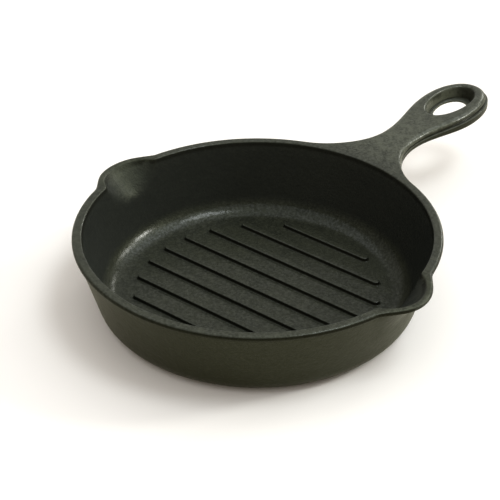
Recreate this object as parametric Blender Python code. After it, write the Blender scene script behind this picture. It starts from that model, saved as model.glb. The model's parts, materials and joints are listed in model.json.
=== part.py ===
"""Round cast-iron grill pan with two pour spouts, nine floor ribs and a strap handle.

The pan is one iron casting. Its regions are modelled as separate solids, so that each can
be picked and finished by itself: the bowl with its beaded rim and spouts, the handle with
its hanging hole, and each rib of the floor. A parting gap of a third of a millimetre keeps
them apart.

Frame: the origin is the centre of the flat base, +Z is up, +X runs out along the handle,
and the spouts point along +Y and -Y.
"""
import math

import bmesh
import bpy

MM = 0.001

# Bowl. Radii are measured from the pan's axis.
RIM_RADIUS = 101.6 * MM
BOWL_HEIGHT = 46.7 * MM
WALL_THICKNESS = 4.4 * MM
FLOOR_THICKNESS = 5.3 * MM
WALL_DRAFT = math.radians(16.5)
BASE_CORNER_RADIUS = 13.2 * MM
FLOOR_FILLET_RADIUS = 13.0 * MM

# Thin bead round the outer edge of the rim
BEAD_OVERHANG = 1.4 * MM
BEAD_HEIGHT = 2.4 * MM
BEAD_EDGE_RADIUS = 0.8 * MM
RIM_INNER_EDGE_RADIUS = 2.0 * MM

# Pour spouts, one on each side. The channel is an oblique cylinder that leans outwards.
SPOUT_REACH = 8.8 * MM              # how far the lip stands out beyond the rim
SPOUT_LIP_THICKNESS = 4.2 * MM
SPOUT_CHANNEL_RADIUS = 21.5 * MM
SPOUT_CHANNEL_SLOPE = math.radians(44.0)
SPOUT_LIP_DIP = 0.8 * MM
SPOUT_SHOULDER_BLEND = 6.0 * MM
SPOUT_CUSP_BLEND = 2.4 * MM

# Ribs of the floor, parallel to the line between the spouts
RIB_COUNT = 9
RIB_SIDE_MARGIN = 10.95 * MM        # from the outermost rib's middle to the flat floor's edge
RIB_FOOT_WIDTH = 4.4 * MM
RIB_TOP_WIDTH = 2.8 * MM
RIB_HEIGHT = 2.4 * MM
RIB_TOP_EDGE_RADIUS = 1.1 * MM
RIB_END_MARGIN = 5.5 * MM           # from the rib's end to the edge of the flat floor
RIB_SHORTEST = 61.0 * MM            # the outermost ribs are drawn out to this length

# Handle: top flush with the rim. Above the parting line its edge is rounded over; below
# the line a flange stands out, which grows from the neck to the head.
HANDLE_REACH = 118.0 * MM           # from the rim to the handle's tip
HANDLE_NECK_FROM_RIM = 35.0 * MM
HANDLE_NECK_WIDTH = 21.8 * MM
HANDLE_NECK_THICKNESS = 6.8 * MM
HANDLE_NECK_FLANGE = 0.3 * MM
HANDLE_HEAD_FROM_TIP = 31.5 * MM
HANDLE_HEAD_WIDTH = 36.4 * MM
HANDLE_HEAD_THICKNESS = 8.4 * MM
HANDLE_HEAD_FLANGE = 1.6 * MM
HANDLE_HEAD_FULLNESS = 2.15         # exponent of the head's end: 2 is an ellipse
HANDLE_ROOT_EDGE = 1.4 * MM         # width of the rounded edge where it leaves the rim
HANDLE_EDGE = 4.0 * MM              # width of the rounded edge from the neck on
HANDLE_PARTING_DEPTH = 4.0 * MM
HANDLE_LEDGE_RISE = 0.4 * MM
HANDLE_UNDER_EDGE_RADIUS = 1.2 * MM

# Hanging hole: drop shaped, with a rounded edge above and a narrower opening below
HOLE_LENGTH = 45.6 * MM
HOLE_WIDTH = 20.6 * MM
HOLE_FROM_TIP = 7.2 * MM
HOLE_WIDEST_FROM_OUTER_END = 21.0 * MM
HOLE_EDGE = 2.8 * MM
HOLE_LEDGE = 1.1 * MM

PARTING_GAP = 0.3 * MM

ARC_STEPS = 5
ROUND_STEPS = 3
RIM_STEP = math.radians(5.0)
SPOUT_STEP = math.radians(2.0)
SPOUT_ANGLES = (math.radians(90.0), math.radians(270.0))
WALL_ROWS = 8
OUTLINE_STEPS = 14
CAST_IRON = (0.030, 0.031, 0.026, 1.0)


def clear_scene():
    for item in list(bpy.data.objects):
        bpy.data.objects.remove(item, do_unlink=True)


def arc(centre, radius, start, end, steps):
    """Points (u, v) on an arc, angles counted from +u towards +v."""
    points = []
    for i in range(steps + 1):
        angle = start + (end - start) * i / steps
        points.append((centre[0] + radius * math.cos(angle), centre[1] + radius * math.sin(angle)))
    return points


def cast_iron(name, shade):
    """Seasoned cast iron; shade lifts or lowers the colour of one region a little."""
    material = bpy.data.materials.new(name)
    material.use_nodes = True
    shader = material.node_tree.nodes["Principled BSDF"]
    shader.inputs["Base Color"].default_value = [c * shade for c in CAST_IRON[:3]] + [1.0]
    shader.inputs["Roughness"].default_value = 0.5
    shader.inputs["Metallic"].default_value = 0.3
    return material


def add_part(name, mesh, shade, parent):
    mesh.materials.append(cast_iron(name, shade))
    mesh.shade_smooth()
    mesh.set_sharp_from_angle(angle=math.radians(35.0))
    part = bpy.data.objects.new(name, mesh)
    bpy.context.scene.collection.objects.link(part)
    part.parent = parent
    return part


def mesh_from_loops(name, loops):
    """Skin closed loops of equal length and close the first and last with a flat face."""
    count = len(loops[0])
    shell = bmesh.new()
    rings = [[shell.verts.new(point) for point in loop] for loop in loops]
    for lower, upper in zip(rings, rings[1:]):
        for i in range(count):
            j = (i + 1) % count
            shell.faces.new((lower[i], lower[j], upper[j], upper[i]))
    shell.faces.new(list(reversed(rings[0])))
    shell.faces.new(rings[-1])
    bmesh.ops.recalc_face_normals(shell, faces=shell.faces)
    mesh = bpy.data.meshes.new(name)
    shell.to_mesh(mesh)
    shell.free()
    return mesh


# Bowl

def outer_wall_radius(z):
    """Outside of the drafted wall, carried on as a straight line to any height."""
    wall_top = BOWL_HEIGHT - BEAD_HEIGHT
    return RIM_RADIUS - BEAD_OVERHANG - (wall_top - z) * math.tan(WALL_DRAFT)


def inner_wall_radius(z):
    """Inside of the wall: the outside moved in by the wall's thickness."""
    return outer_wall_radius(z) - WALL_THICKNESS / math.cos(WALL_DRAFT)


def corner_centre_radius(wall_radius, radius):
    """Radius at which a corner arc of this radius touches both the wall and the flat."""
    return wall_radius + radius * math.tan(WALL_DRAFT) - radius / math.cos(WALL_DRAFT)


def flat_floor_radius():
    return corner_centre_radius(inner_wall_radius(FLOOR_THICKNESS), FLOOR_FILLET_RADIUS)


def outside_profile():
    """Radius and height up the outside, from the edge of the flat base to the rim's top."""
    centre = (corner_centre_radius(outer_wall_radius(0.0), BASE_CORNER_RADIUS), BASE_CORNER_RADIUS)
    points = arc(centre, BASE_CORNER_RADIUS, -math.pi / 2, -WALL_DRAFT, ARC_STEPS)
    wall_top = BOWL_HEIGHT - BEAD_HEIGHT
    start = points[-1][1]
    for i in range(1, WALL_ROWS):
        z = start + (wall_top - start) * i / (WALL_ROWS - 1)
        points.append((outer_wall_radius(z), z))
    edge = BEAD_EDGE_RADIUS
    points += arc((RIM_RADIUS - edge, wall_top + edge), edge, -math.pi / 2, 0.0, ROUND_STEPS)
    points += arc((RIM_RADIUS - edge, BOWL_HEIGHT - edge), edge, 0.0, math.pi / 2, ROUND_STEPS)
    return points


def inside_profile():
    """Radius and height down the inside, from the rim's top to the edge of the flat floor."""
    edge = RIM_INNER_EDGE_RADIUS
    edge_z = BOWL_HEIGHT - edge
    centre = (inner_wall_radius(edge_z) + edge / math.cos(WALL_DRAFT), edge_z)
    points = arc(centre, edge, math.pi / 2, math.pi - WALL_DRAFT, ROUND_STEPS)
    fillet = FLOOR_FILLET_RADIUS
    centre = (flat_floor_radius(), FLOOR_THICKNESS + fillet)
    bend = arc(centre, fillet, -WALL_DRAFT, -math.pi / 2, ARC_STEPS)
    top, bottom = points[-1][1], bend[0][1]
    for i in range(1, WALL_ROWS):
        z = top + (bottom - top) * i / WALL_ROWS
        points.append((inner_wall_radius(z), z))
    return points + bend


def spout_nose(angle, tip, nose_radius):
    """Distance from the pan's axis to a spout's round nose, or None beside the nose."""
    away = min(abs(math.remainder(angle - a, math.tau)) for a in SPOUT_ANGLES)
    centre = tip - nose_radius
    across = centre * math.sin(away)
    if away > math.pi / 2 or abs(across) >= nose_radius:
        return None
    return centre * math.cos(away) + math.sqrt(nose_radius ** 2 - across ** 2)


def blend_max(a, b, blend):
    """The larger of two lengths, rounded where they cross."""
    overlap = max(blend - abs(a - b), 0.0) / blend
    return max(a, b) + overlap * overlap * blend / 4


def with_spout(angle, radius, z, outside):
    """Push a point of the plain round bowl out to the spout's skin."""
    depth = BOWL_HEIGHT - z
    recede = 1.0 / math.tan(SPOUT_CHANNEL_SLOPE)
    lip = RIM_RADIUS + SPOUT_REACH
    if outside:
        below_bead = max(depth - BEAD_HEIGHT, 0.0)
        plain = RIM_RADIUS if below_bead == 0.0 else outer_wall_radius(z)
        tip = lip if below_bead == 0.0 else lip - BEAD_OVERHANG - below_bead * recede
        nose_radius, blend = SPOUT_CHANNEL_RADIUS + SPOUT_LIP_THICKNESS, SPOUT_SHOULDER_BLEND
    else:
        plain = inner_wall_radius(z)
        tip = lip - SPOUT_LIP_THICKNESS - depth * recede
        nose_radius, blend = SPOUT_CHANNEL_RADIUS, SPOUT_CUSP_BLEND
    nose = spout_nose(angle, tip, nose_radius)
    if nose is None:
        return radius
    return blend_max(plain, nose, blend) + radius - plain


def rim_dip(angle, z):
    """The rim sinks a little towards each spout's tip; the wall below follows less and less."""
    away = min(abs(math.remainder(angle - a, math.tau)) for a in SPOUT_ANGLES)
    half_width = math.atan2(SPOUT_CHANNEL_RADIUS, RIM_RADIUS)
    if away >= half_width:
        return 0.0
    return SPOUT_LIP_DIP * math.cos(away / half_width * math.pi / 2) ** 2 * (z / BOWL_HEIGHT) ** 2


def rim_angles():
    """Angles round the bowl, closer together across the spouts."""
    window = 2.0 * math.atan2(SPOUT_CHANNEL_RADIUS, RIM_RADIUS)
    fine = max(math.ceil(window / SPOUT_STEP), 2)
    coarse = max(math.ceil((math.pi - window) / RIM_STEP), 4)
    angles = []
    for spout in SPOUT_ANGLES:
        angles += [spout - window / 2 + window * i / fine for i in range(fine)]
        angles += [spout + window / 2 + (math.pi - window) * i / coarse for i in range(coarse)]
    return angles


def bowl_mesh():
    angles = rim_angles()
    loops = []
    for profile, outside in ((outside_profile(), True), (inside_profile(), False)):
        for radius, z in profile:
            loop = []
            for angle in angles:
                r = with_spout(angle, radius, z, outside)
                loop.append((r * math.cos(angle), r * math.sin(angle), z - rim_dip(angle, z)))
            loops.append(loop)
    return mesh_from_loops("bowl", loops)


def bowl_envelope_mesh(gap):
    """The bowl's outside as a filled body, grown by the gap, used to cut the handle's root."""
    wall_top = BOWL_HEIGHT - BEAD_HEIGHT - gap
    above = BOWL_HEIGHT + HANDLE_HEAD_THICKNESS
    profile = [(outer_wall_radius(0.0) + gap, 0.0), (outer_wall_radius(wall_top) + gap, wall_top),
               (RIM_RADIUS + gap, wall_top), (RIM_RADIUS + gap, above)]
    steps = round(math.tau / RIM_STEP)
    # A polygon's sides lie inside its circle, so its corners stand out a little further.
    grow = 1.0 / math.cos(math.pi / steps)
    loops = [[(r * grow * math.cos(math.tau * i / steps), r * grow * math.sin(math.tau * i / steps), z)
              for i in range(steps)] for r, z in profile]
    return mesh_from_loops("bowl_envelope", loops)


# Handle

def smooth_share(value, start, end):
    """How far a value has gone from start to end, eased at both ends."""
    share = min(max((value - start) / (end - start), 0.0), 1.0)
    return share * share * (3 - 2 * share)


def handle_stations():
    """Distances from the pan's axis to the handle's neck, head and tip."""
    tip_x = RIM_RADIUS + HANDLE_REACH
    return RIM_RADIUS + HANDLE_NECK_FROM_RIM, tip_x - HANDLE_HEAD_FROM_TIP, tip_x


def handle_half_outline():
    """One side of the handle in plan, from the bowl's rim out to the tip."""
    neck_x, head_x, tip_x = handle_stations()
    neck, head = HANDLE_NECK_WIDTH / 2, HANDLE_HEAD_WIDTH / 2
    # The root's fillet touches the neck's side and the rim's circle.
    fillet = (neck_x ** 2 + neck ** 2 - RIM_RADIUS ** 2) / (2 * (RIM_RADIUS - neck))
    centre = (neck_x, neck + fillet)
    touch = math.atan2(centre[1], centre[0])
    # The outline starts inside the bowl, where the root is cut away.
    points = [(0.9 * RIM_RADIUS * math.cos(touch), 0.9 * RIM_RADIUS * math.sin(touch))]
    points += arc(centre, fillet, touch - math.pi, -math.pi / 2, OUTLINE_STEPS)
    for i in range(1, OUTLINE_STEPS):
        share = i / OUTLINE_STEPS
        rise = (1 - math.cos(math.pi * share)) / 2
        points.append((neck_x + (head_x - neck_x) * share, neck + (head - neck) * rise))
    power = 2 / HANDLE_HEAD_FULLNESS
    for i in range(OUTLINE_STEPS):
        angle = math.pi / 2 * (1 - i / OUTLINE_STEPS)
        points.append((head_x + HANDLE_HEAD_FROM_TIP * math.cos(angle) ** power,
                       head * math.sin(angle) ** power))
    return points + [(tip_x, 0.0)]


def inward_normals(outline):
    """Unit normals of a closed outline whose inside lies to the right of its direction."""
    count = len(outline)
    normals = []
    for i in range(count):
        before, after = outline[i - 1], outline[(i + 1) % count]
        dx, dy = after[0] - before[0], after[1] - before[1]
        length = math.hypot(dx, dy)
        normals.append((dy / length, -dx / length))
    return normals


def handle_section(x):
    """Inset and height up the handle's side, at a distance from the pan's axis."""
    neck_x, head_x, tip_x = handle_stations()
    to_head = smooth_share(x, neck_x, head_x)
    thickness = HANDLE_NECK_THICKNESS + (HANDLE_HEAD_THICKNESS - HANDLE_NECK_THICKNESS) * to_head
    flange = HANDLE_NECK_FLANGE + (HANDLE_HEAD_FLANGE - HANDLE_NECK_FLANGE) * to_head
    edge = HANDLE_ROOT_EDGE + (HANDLE_EDGE - HANDLE_ROOT_EDGE) * smooth_share(x, RIM_RADIUS, neck_x)
    bottom, parting = BOWL_HEIGHT - thickness, BOWL_HEIGHT - HANDLE_PARTING_DEPTH
    under, ledge = HANDLE_UNDER_EDGE_RADIUS, parting + HANDLE_LEDGE_RISE
    levels = [(under - flange - under * math.sin(a), bottom + under - under * math.cos(a))
              for a in (math.pi / 2 * i / ROUND_STEPS for i in range(ROUND_STEPS + 1))]
    levels += [(-flange, parting), (0.0, ledge)]
    levels += [(edge - edge * math.cos(a), ledge + (BOWL_HEIGHT - ledge) * math.sin(a))
               for a in (math.pi / 2 * i / ARC_STEPS for i in range(1, ARC_STEPS + 1))]
    return levels


def handle_loops():
    half = handle_half_outline()
    outline = half + [(x, -y) for x, y in reversed(half[:-1])]
    sides = [[(x + inset * nx, y + inset * ny, z) for inset, z in handle_section(x)]
             for (x, y), (nx, ny) in zip(outline, inward_normals(outline))]
    return [list(loop) for loop in zip(*sides)]


def hole_outline(inset):
    """The hanging hole in plan, drawn smaller all round by the inset."""
    outer_end = RIM_RADIUS + HANDLE_REACH - HOLE_FROM_TIP
    widest_x = outer_end - HOLE_WIDEST_FROM_OUTER_END
    inner = HOLE_LENGTH - HOLE_WIDEST_FROM_OUTER_END - inset
    outer = HOLE_WIDEST_FROM_OUTER_END - inset
    half_width = HOLE_WIDTH / 2 - inset
    points = []
    for i in range(4 * OUTLINE_STEPS):
        angle = math.pi / 2 * i / OUTLINE_STEPS
        reach = outer if math.cos(angle) > 0 else inner
        points.append((widest_x + reach * math.cos(angle), half_width * math.sin(angle)))
    return points


def hole_mesh():
    """The body that cuts the hole: wide at the top, narrower past the parting line."""
    top, past = BOWL_HEIGHT, HANDLE_HEAD_THICKNESS / 2
    parting = top - HANDLE_PARTING_DEPTH
    ledge = parting + HANDLE_LEDGE_RISE
    narrow = HOLE_EDGE + HOLE_LEDGE
    levels = [(narrow, top - HANDLE_HEAD_THICKNESS - past), (narrow, parting), (HOLE_EDGE, ledge)]
    levels += [(HOLE_EDGE * math.cos(a), ledge + (top - ledge) * math.sin(a))
               for a in (math.pi / 2 * i / ARC_STEPS for i in range(1, ARC_STEPS))]
    # The last stretch runs through the top's plane at the edge's foot and on above it.
    inset, height = levels[-1]
    levels += [(-inset, 2 * top - height), (-inset, top + past)]
    loops = [[(x, y, z) for x, y in hole_outline(inset)] for inset, z in levels]
    return mesh_from_loops("hanging_hole", loops)


def add_cutter(name, mesh, target, parent):
    cutter = bpy.data.objects.new(name, mesh)
    bpy.context.scene.collection.objects.link(cutter)
    cutter.parent = parent
    cutter.hide_render = True
    cutter.display_type = "WIRE"
    cut = target.modifiers.new(name, "BOOLEAN")
    cut.operation = "DIFFERENCE"
    cut.object = cutter
    cut.solver = "EXACT"


def add_handle(parent):
    handle = add_part("handle", mesh_from_loops("handle", handle_loops()), 1.15, parent)
    add_cutter("handle_root_cut", bowl_envelope_mesh(PARTING_GAP), handle, parent)
    add_cutter("hanging_hole_cut", hole_mesh(), handle, parent)


# Ribs

def rib_mesh(name, half_length):
    """A low bar with round ends, tapering from its foot to a rounded top."""
    taper = (RIB_FOOT_WIDTH - RIB_TOP_WIDTH) / 2
    edge = RIB_TOP_EDGE_RADIUS
    foot = PARTING_GAP
    levels = [(0.0, foot), (taper, RIB_HEIGHT - edge)]
    levels += [(taper + edge - edge * math.cos(a), RIB_HEIGHT - edge + edge * math.sin(a))
               for a in (math.pi / 2 * i / ROUND_STEPS for i in range(1, ROUND_STEPS + 1))]
    loops = []
    for inset, z in levels:
        radius = RIB_FOOT_WIDTH / 2 - inset
        straight = half_length - RIB_FOOT_WIDTH / 2
        far = arc((0.0, straight), radius, 0.0, math.pi, ARC_STEPS)
        near = arc((0.0, -straight), radius, math.pi, math.tau, ARC_STEPS)
        loops.append([(x, y, z) for x, y in far + near])
    return mesh_from_loops(name, loops)


def rib_places():
    """Offset and half length of each rib, from -X to +X; their ends lie on a circle."""
    outermost = flat_floor_radius() - RIB_SIDE_MARGIN
    reach = flat_floor_radius() - RIB_END_MARGIN
    places = []
    for i in range(RIB_COUNT):
        offset = outermost * (2 * i / (RIB_COUNT - 1) - 1)
        half_length = math.sqrt(reach ** 2 - offset ** 2)
        places.append((offset, max(half_length, RIB_SHORTEST / 2)))
    return places


def add_ribs(parent):
    for number, (offset, half_length) in enumerate(rib_places(), start=1):
        name = f"rib_{number}"
        rib = add_part(name, rib_mesh(name, half_length), 1.3, parent)
        rib.location = (offset, 0.0, FLOOR_THICKNESS)


clear_scene()
pan = bpy.data.objects.new("pan", None)
bpy.context.scene.collection.objects.link(pan)
add_part("bowl", bowl_mesh(), 1.0, pan)
add_handle(pan)
add_ribs(pan)
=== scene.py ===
"""Round cast-iron grill pan: one iron casting with a ribbed floor, two pour spouts and a
strap handle with a hanging hole, standing on a pale table in soft light."""
import json
import math

import bmesh
import bpy
import numpy as np
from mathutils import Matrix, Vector

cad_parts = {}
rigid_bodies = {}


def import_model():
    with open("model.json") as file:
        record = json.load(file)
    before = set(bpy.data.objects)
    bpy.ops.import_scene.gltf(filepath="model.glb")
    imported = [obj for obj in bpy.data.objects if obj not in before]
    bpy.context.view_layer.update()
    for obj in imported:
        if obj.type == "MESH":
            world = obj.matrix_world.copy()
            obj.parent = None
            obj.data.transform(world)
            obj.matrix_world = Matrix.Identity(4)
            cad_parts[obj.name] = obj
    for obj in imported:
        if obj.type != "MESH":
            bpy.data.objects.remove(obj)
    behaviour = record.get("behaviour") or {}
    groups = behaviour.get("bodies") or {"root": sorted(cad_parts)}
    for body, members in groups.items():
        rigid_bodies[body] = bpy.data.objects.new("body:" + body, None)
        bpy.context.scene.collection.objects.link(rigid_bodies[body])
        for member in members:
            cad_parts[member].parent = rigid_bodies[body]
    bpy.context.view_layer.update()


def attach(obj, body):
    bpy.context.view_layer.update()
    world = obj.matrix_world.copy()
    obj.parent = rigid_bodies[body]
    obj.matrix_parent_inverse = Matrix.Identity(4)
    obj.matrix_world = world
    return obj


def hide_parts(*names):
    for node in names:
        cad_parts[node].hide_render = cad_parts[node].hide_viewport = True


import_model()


# The bowl
# The bowl, its rim bead and its two spouts are poured in one go from grey iron in a sand
# mould. The section is turned round the pan's axis, and each spout is an oblique round
# channel that leans outwards and runs into the wall in a soft valley.
MM = 0.001
RIM_RADIUS = 101.6 * MM
BOWL_HEIGHT = 46.7 * MM
WALL_THICKNESS = 4.4 * MM
FLOOR_THICKNESS = 5.3 * MM
WALL_DRAFT = math.radians(16.5)
BASE_CORNER_RADIUS = 13.2 * MM
FLOOR_FILLET_RADIUS = 13.0 * MM
BEAD_OVERHANG = 1.4 * MM
BEAD_HEIGHT = 2.4 * MM
BEAD_EDGE_RADIUS = 0.6 * MM
BEAD_FACE_LEAN = math.radians(4.0)
RIM_OUTER_EDGE_RADIUS = 1.7 * MM
BEAD_ROOT_RADIUS = 0.5 * MM
RIM_INNER_EDGE_RADIUS = 1.05 * MM
RIM_FLAT_MARGIN = 0.2 * MM
SPOUT_REACH = 8.8 * MM
SPOUT_LIP_THICKNESS = 4.2 * MM
SPOUT_CHANNEL_RADIUS = 21.5 * MM
SPOUT_CHANNEL_SLOPE = math.radians(44.0)
SPOUT_SCOOP_WIDENING = 0.8 * MM
SPOUT_LIP_DIP = 0.8 * MM
SPOUT_SHOULDER_BLEND = 6.0 * MM
SPOUT_CUSP_BLEND = 2.4 * MM
BOWL_STEPS_ROUND = 480
CROWDING_AT_SPOUTS = 0.45
FLAT_RING_SHARES = (0.0, 0.2, 0.45, 0.7, 0.9, 0.985)
SEAM_MERGE = 0.003 * MM
ROUNDING_ERROR = 1e-9


def arc(centre, radius, start, end, steps):
    """Points (u, v) on an arc, angles counted from +u towards +v."""
    angles = [start + (end - start) * i / steps for i in range(steps + 1)]
    return [(centre[0] + radius * math.cos(a), centre[1] + radius * math.sin(a)) for a in angles]


def outer_wall_radius(z):
    wall_top = BOWL_HEIGHT - BEAD_HEIGHT
    return RIM_RADIUS - BEAD_OVERHANG - (wall_top - z) * math.tan(WALL_DRAFT)


def inner_wall_radius(z):
    return outer_wall_radius(z) - WALL_THICKNESS / math.cos(WALL_DRAFT)


def corner_centre_radius(wall_radius, radius):
    """Radius at which a corner arc touches both the wall and the flat."""
    return wall_radius + radius * math.tan(WALL_DRAFT) - radius / math.cos(WALL_DRAFT)


def wall_rows(start, end, radius_at, count):
    """Points up or down a straight wall, between two heights that already have theirs."""
    return [(radius_at(start + (end - start) * i / count), start + (end - start) * i / count)
            for i in range(1, count)]


def outside_section():
    """Radius and height from the middle of the base out and up to the rim's flat top."""
    foot = corner_centre_radius(outer_wall_radius(0.0), BASE_CORNER_RADIUS)
    points = [(foot * share, 0.0) for share in FLAT_RING_SHARES]
    points += arc((foot, BASE_CORNER_RADIUS), BASE_CORNER_RADIUS, -math.pi / 2, -WALL_DRAFT, steps=12)
    wall_top = BOWL_HEIGHT - BEAD_HEIGHT
    root = BEAD_ROOT_RADIUS
    root_centre = (outer_wall_radius(wall_top - root) + root / math.cos(WALL_DRAFT), wall_top - root)
    bend = arc(root_centre, root, math.pi - WALL_DRAFT, math.pi / 2, steps=4)
    points += wall_rows(points[-1][1], bend[0][1], outer_wall_radius, count=22) + bend
    lean, edge = BEAD_FACE_LEAN, BEAD_EDGE_RADIUS
    points += arc((RIM_RADIUS - edge, wall_top + edge), edge, -math.pi / 2, lean, steps=6)
    # The bead's face leans in as it rises; the arc at the rim's top touches it and the flat.
    top_edge = RIM_OUTER_EDGE_RADIUS
    rise = BOWL_HEIGHT - top_edge - wall_top - edge
    centre = RIM_RADIUS - edge + (edge - top_edge - rise * math.sin(lean)) / math.cos(lean)
    points += arc((centre, BOWL_HEIGHT - top_edge), top_edge, lean, math.pi / 2, steps=5)
    return points + [(centre - RIM_FLAT_MARGIN, BOWL_HEIGHT)]


def inside_section():
    """Radius and height from the rim's flat top in and down to the middle of the floor."""
    edge = RIM_INNER_EDGE_RADIUS
    edge_z = BOWL_HEIGHT - edge
    edge_centre = (inner_wall_radius(edge_z) + edge / math.cos(WALL_DRAFT), edge_z)
    points = [(edge_centre[0] + RIM_FLAT_MARGIN, BOWL_HEIGHT)]
    points += arc(edge_centre, edge, math.pi / 2, math.pi - WALL_DRAFT, steps=8)
    floor = corner_centre_radius(inner_wall_radius(FLOOR_THICKNESS), FLOOR_FILLET_RADIUS)
    centre = (floor, FLOOR_THICKNESS + FLOOR_FILLET_RADIUS)
    bend = arc(centre, FLOOR_FILLET_RADIUS, -WALL_DRAFT, -math.pi / 2, steps=14)
    points += wall_rows(points[-1][1], bend[0][1], inner_wall_radius, count=26) + bend
    return points + [(floor * share, FLOOR_THICKNESS) for share in reversed(FLAT_RING_SHARES)]


def section_mesh():
    """The section as a line of points; each knows how the spout's channel meets its height."""
    recede = 1.0 / math.tan(SPOUT_CHANNEL_SLOPE)
    lip = RIM_RADIUS + SPOUT_REACH
    wall_top = BOWL_HEIGHT - BEAD_HEIGHT
    points, plain, tip, nose, blend = [], [], [], [], []
    for radius, z in outside_section():
        on_bead = z >= wall_top - ROUNDING_ERROR
        points.append((radius, 0.0, z))
        plain.append(RIM_RADIUS if on_bead else outer_wall_radius(z))
        tip.append(lip if on_bead else lip - BEAD_OVERHANG - (wall_top - z) * recede)
        nose.append(SPOUT_CHANNEL_RADIUS + SPOUT_LIP_THICKNESS)
        blend.append(SPOUT_SHOULDER_BLEND)
    for radius, z in inside_section():
        points.append((radius, 0.0, z))
        plain.append(inner_wall_radius(z))
        tip.append(lip - SPOUT_LIP_THICKNESS + SPOUT_SCOOP_WIDENING - (BOWL_HEIGHT - z) * recede)
        nose.append(SPOUT_CHANNEL_RADIUS + SPOUT_SCOOP_WIDENING)
        blend.append(SPOUT_CUSP_BLEND)
    mesh = bpy.data.meshes.new("bowl_section")
    mesh.from_pydata(points, [(i, i + 1) for i in range(len(points) - 1)], [])
    for name, values in (("plain", plain), ("tip", tip), ("nose", nose), ("blend", blend)):
        mesh.attributes.new(name, "FLOAT", "POINT").data.foreach_set("value", values)
    return mesh


class Rule:
    """Writes the rule of a shape as the nodes of one Geometry Nodes tree."""

    def __init__(self, name, inputs):
        self.tree = bpy.data.node_groups.new(name, "GeometryNodeTree")
        self.tree.interface.new_socket("Geometry", in_out="INPUT", socket_type="NodeSocketGeometry")
        self.tree.interface.new_socket("Geometry", in_out="OUTPUT", socket_type="NodeSocketGeometry")
        self.inputs = inputs
        self.ids = {}
        for label, (kind, _) in inputs.items():
            socket = self.tree.interface.new_socket(label, in_out="INPUT", socket_type=kind)
            self.ids[label] = socket.identifier
        self.given = self.tree.nodes.new("NodeGroupInput").outputs

    def node(self, kind, settings=None, **sockets):
        """A new node; a space in a socket's name is written as _."""
        made = self.tree.nodes.new(kind)
        for key, value in (settings or {}).items():
            setattr(made, key, value)
        for key, value in sockets.items():
            self.feed(made.inputs[key.replace("_", " ")], value)
        return made

    def feed(self, socket, value):
        if isinstance(value, bpy.types.NodeSocket):
            self.tree.links.new(value, socket)
        else:
            socket.default_value = value

    def math(self, operation, *values):
        made = self.tree.nodes.new("ShaderNodeMath")
        made.operation = operation
        for socket, value in zip(made.inputs, values):
            self.feed(socket, value)
        return made.outputs[0]

    def attribute(self, name):
        made = self.node("GeometryNodeInputNamedAttribute", {"data_type": "FLOAT"}, Name=name)
        return made.outputs["Attribute"]

    def sample(self, value, row, kind="FLOAT"):
        """A value of the given section at one of its points."""
        made = self.node("GeometryNodeSampleIndex", {"data_type": kind, "domain": "POINT"},
                         Geometry=self.given["Geometry"], Value=value, Index=row)
        return made.outputs["Value"]

    def skin(self):
        """A grid to wrap round, with the section's row, step and place that each point stands for."""
        rows = self.node("GeometryNodeAttributeDomainSize", {"component": "MESH"},
                         Geometry=self.given["Geometry"]).outputs["Point Count"]
        grid = self.node("GeometryNodeMeshGrid", Size_X=1.0, Size_Y=1.0, Vertices_Y=rows,
                         Vertices_X=self.math("ADD", self.given["Steps round"], 1.0)).outputs["Mesh"]
        index = self.node("GeometryNodeInputIndex").outputs["Index"]
        row = self.math("FLOORED_MODULO", index, rows)
        step = self.math("FLOOR", self.math("DIVIDE", index, rows))
        position = self.node("GeometryNodeInputPosition").outputs["Position"]
        place = self.node("ShaderNodeSeparateXYZ", Vector=self.sample(position, row, "FLOAT_VECTOR"))
        return grid, row, step, place.outputs

    def stored(self, geometry, name, value, domain):
        return self.node("GeometryNodeStoreNamedAttribute", {"data_type": "FLOAT", "domain": domain},
                         Geometry=geometry, Name=name, Value=value).outputs["Geometry"]

    def moved(self, geometry, label, x, y, z):
        """The geometry with its points put at a Position, or moved on by an Offset."""
        spot = self.node("ShaderNodeCombineXYZ", X=x, Y=y, Z=z).outputs["Vector"]
        return self.node("GeometryNodeSetPosition", Geometry=geometry, **{label: spot}).outputs["Geometry"]

    def blended_max(self, a, b, blend):
        """The larger of two lengths, rounded where they cross."""
        apart = self.math("ABSOLUTE", self.math("SUBTRACT", a, b))
        overlap = self.math("MAXIMUM", self.math("SUBTRACT", blend, apart), 0.0)
        lift = self.math("DIVIDE", self.math("MULTIPLY", overlap, overlap),
                         self.math("MULTIPLY", blend, 4.0))
        return self.math("ADD", self.math("MAXIMUM", a, b), lift)

    def finish(self, geometry):
        """Close the seams and poles, and end the tree in the iron."""
        merged = self.node("GeometryNodeMergeByDistance", Geometry=geometry, Distance=SEAM_MERGE)
        realized = self.node("GeometryNodeRealizeInstances", Geometry=merged.outputs["Geometry"])
        dressed = self.node("GeometryNodeSetMaterial", Geometry=realized.outputs["Geometry"],
                            Material=self.given["Material"])
        end = self.tree.nodes.new("NodeGroupOutput")
        self.tree.links.new(dressed.outputs["Geometry"], end.inputs[0])

    def applied_to(self, name, mesh):
        """A plain mesh: what the tree makes of the given mesh and of its named inputs."""
        carrier = bpy.data.objects.new(name, mesh)
        bpy.context.scene.collection.objects.link(carrier)
        modifier = carrier.modifiers.new(name, "NODES")
        modifier.node_group = self.tree
        for label, (_, value) in self.inputs.items():
            modifier[self.ids[label]] = value
        graph = bpy.context.evaluated_depsgraph_get()
        made = bpy.data.meshes.new_from_object(carrier.evaluated_get(graph))
        bpy.data.objects.remove(carrier, do_unlink=True)
        made.name = name
        return made


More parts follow.
